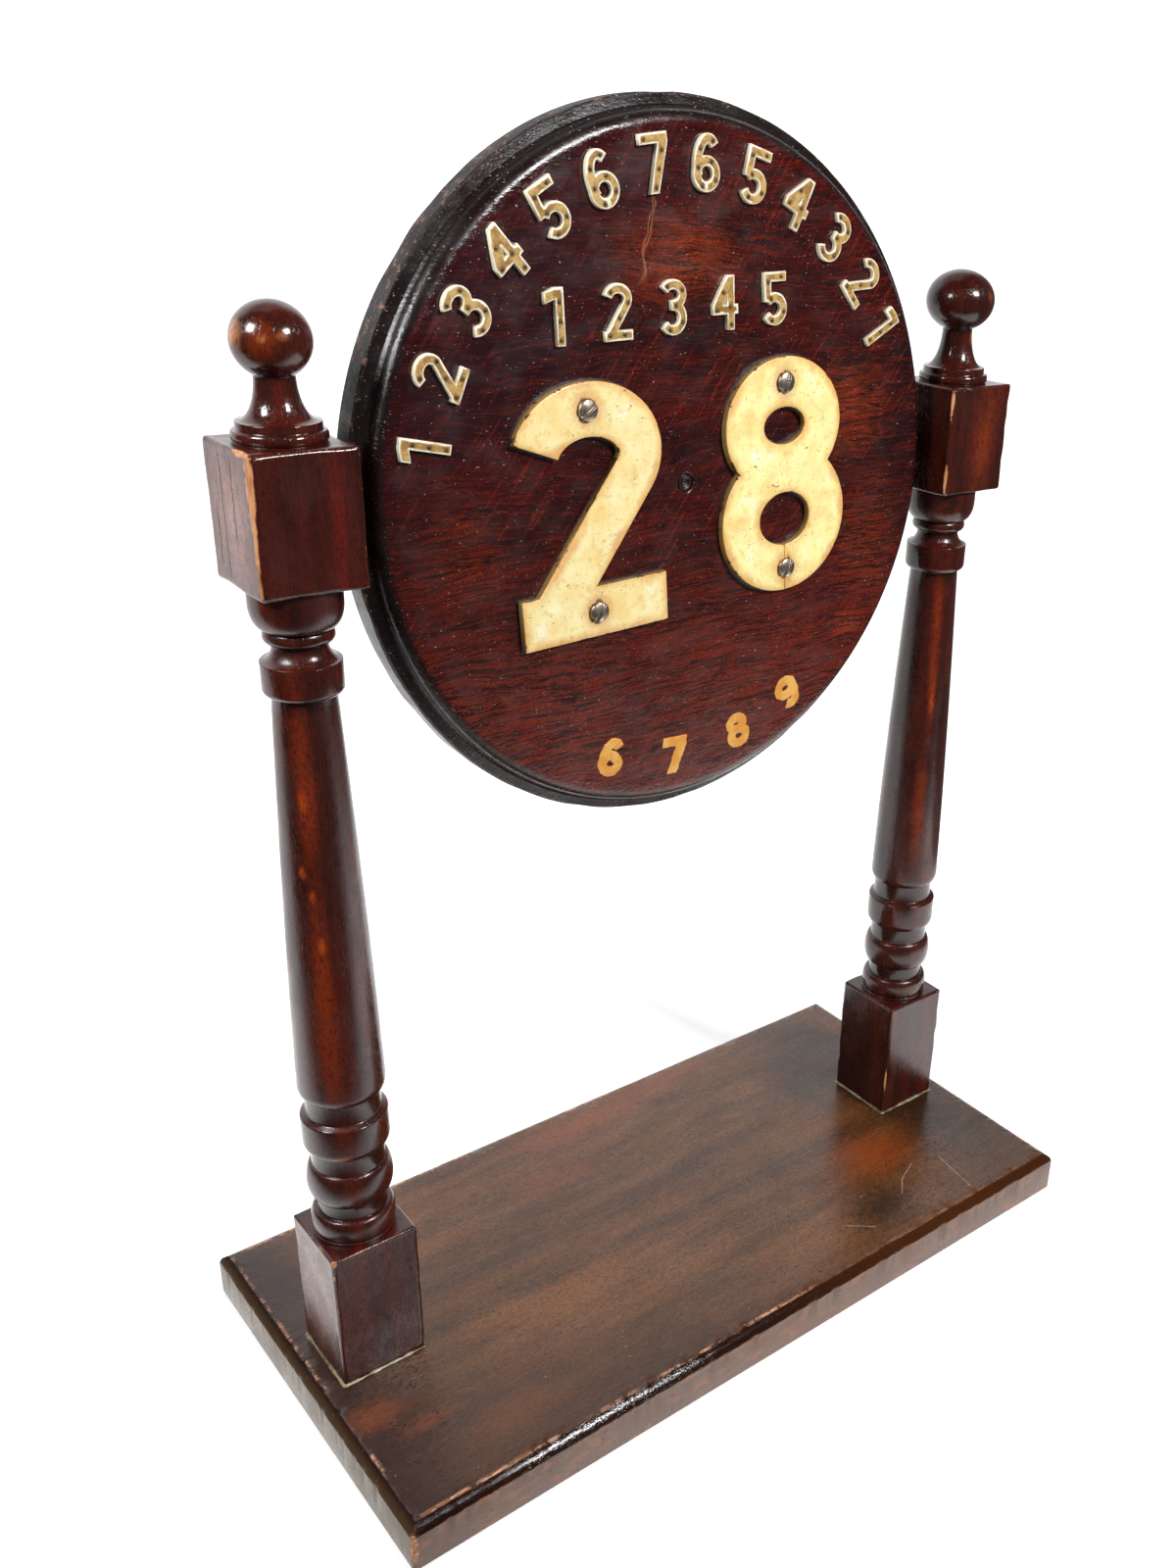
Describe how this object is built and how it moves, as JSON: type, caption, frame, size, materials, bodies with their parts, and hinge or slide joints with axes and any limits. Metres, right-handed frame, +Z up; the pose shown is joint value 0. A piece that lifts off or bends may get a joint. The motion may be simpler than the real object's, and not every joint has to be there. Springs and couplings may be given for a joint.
{
  "type": "rotating table sign",
  "caption": "Round wooden sign board that turns on side pivots between two turned posts with ball finials on a chamfered base, with applied plain figures.",
  "frame": {"origin": "centre of the base board's underside", "axes": "+Z up, +X along the base board towards the right post as seen from the side that carries the figures, +Y from the figures towards the plain back of the board"},
  "size_m": [0.382, 0.192, 0.5244],
  "materials": {
    "base_wood": "brown stained board, dull varnish with worn edges",
    "post_wood": "dark red-brown polished hardwood",
    "disc_oak": "dark red-brown varnished oak",
    "plug_wood": "dark stained end grain",
    "large_figures": "yellowed cream enamel",
    "small_figures": "brass with rubbed cream paint",
    "figure_screws": "dull slotted steel",
    "dark_steel": "dark plain steel"
  },
  "bodies": {
    "stand": {"base_board": "base_wood", "left_finial": "post_wood", "left_pivot_pin": "dark_steel", "left_pivot_washer": "dark_steel", "left_post": "post_wood", "left_post_screw": "dark_steel", "right_finial": "post_wood", "right_pivot_pin": "dark_steel", "right_pivot_washer": "dark_steel", "right_post": "post_wood", "right_post_screw": "dark_steel"},
    "board": {"arc_figure_01": "small_figures", "arc_figure_02": "small_figures", "arc_figure_03": "small_figures", "arc_figure_04": "small_figures", "arc_figure_05": "small_figures", "arc_figure_06": "small_figures", "arc_figure_07": "small_figures", "arc_figure_08": "small_figures", "arc_figure_09": "small_figures", "arc_figure_10": "small_figures", "arc_figure_11": "small_figures", "arc_figure_12": "small_figures", "arc_figure_13": "small_figures", "centre_plug": "plug_wood", "left_figure_lower_screw": "figure_screws", "left_figure_upper_screw": "figure_screws", "left_large_figure": "large_figures", "right_figure_lower_screw": "figure_screws", "right_figure_upper_screw": "figure_screws", "right_large_figure": "large_figures", "row_figure_1": "small_figures", "row_figure_2": "small_figures", "row_figure_3": "small_figures", "row_figure_4": "small_figures", "row_figure_5": "small_figures", "sign_disc": "disc_oak"}
  },
  "joints": [
    {"name": "board_turn", "type": "hinge", "parent": "stand", "child": "board", "pos_m": [0, 0.0073, 0.38545], "axis": [1, 0, 0], "continuous": true}
  ]
}
